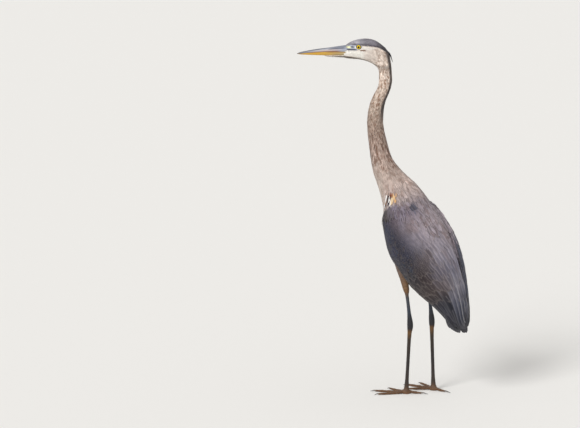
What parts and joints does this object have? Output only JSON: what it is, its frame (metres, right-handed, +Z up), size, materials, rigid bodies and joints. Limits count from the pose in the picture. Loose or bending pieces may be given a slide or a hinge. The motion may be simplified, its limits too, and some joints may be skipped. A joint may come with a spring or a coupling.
{
  "type": "great blue heron",
  "caption": "Life-size still model of a young great blue heron standing erect on both feet, its head turned to one side.",
  "frame": {"origin": "on the floor, under the middle of the bird's whole box", "axes": "+X the way the breast faces, +Y the bird's left, +Z up"},
  "size_m": [0.5242, 0.2368, 1.0842],
  "materials": {
    "head_feathers": "short smooth head feathers, slate cap over white cheeks",
    "neck_feathers": "soft buff-grey neck feathers, finely streaked",
    "body_feathers": "soft grey body feathers",
    "wing_coverts": "brown-grey coverts with pale edges",
    "flight_feathers": "satin slate flight feathers",
    "nape_plume": "satin black plume",
    "thigh_feathers": "short rufous feathers",
    "leg_scales": "horny scaled skin, satin",
    "claw_horn": "polished dark horn",
    "upper_bill_horn": "satin slate horn",
    "lower_bill_horn": "satin yellow horn",
    "eye": "wet glossy yellow iris with a black pupil"
  },
  "bodies": {
    "root": {"head": "head_feathers", "eye_left": "eye", "eye_right": "eye", "bill_upper": "upper_bill_horn", "bill_lower": "lower_bill_horn", "nape_plume": "nape_plume", "neck_upper": "neck_feathers", "neck_middle": "neck_feathers", "neck_lower": "neck_feathers", "trunk": "body_feathers", "tail": "flight_feathers", "wing_left_coverts": "wing_coverts", "wing_left_flight": "flight_feathers", "wing_right_coverts": "wing_coverts", "wing_right_flight": "flight_feathers", "thigh_left": "thigh_feathers", "shank_left": "leg_scales", "ankle_left": "leg_scales", "tarsus_left": "leg_scales", "foot_left": "leg_scales", "toe_left_hind": "leg_scales", "claw_left_hind": "claw_horn", "toe_left_inner": "leg_scales", "claw_left_inner": "claw_horn", "toe_left_middle": "leg_scales", "claw_left_middle": "claw_horn", "toe_left_outer": "leg_scales", "claw_left_outer": "claw_horn", "thigh_right": "thigh_feathers", "shank_right": "leg_scales", "ankle_right": "leg_scales", "tarsus_right": "leg_scales", "foot_right": "leg_scales", "toe_right_hind": "leg_scales", "claw_right_hind": "claw_horn", "toe_right_inner": "leg_scales", "claw_right_inner": "claw_horn", "toe_right_middle": "leg_scales", "claw_right_middle": "claw_horn", "toe_right_outer": "leg_scales", "claw_right_outer": "claw_horn"}
  },
  "joints": []
}
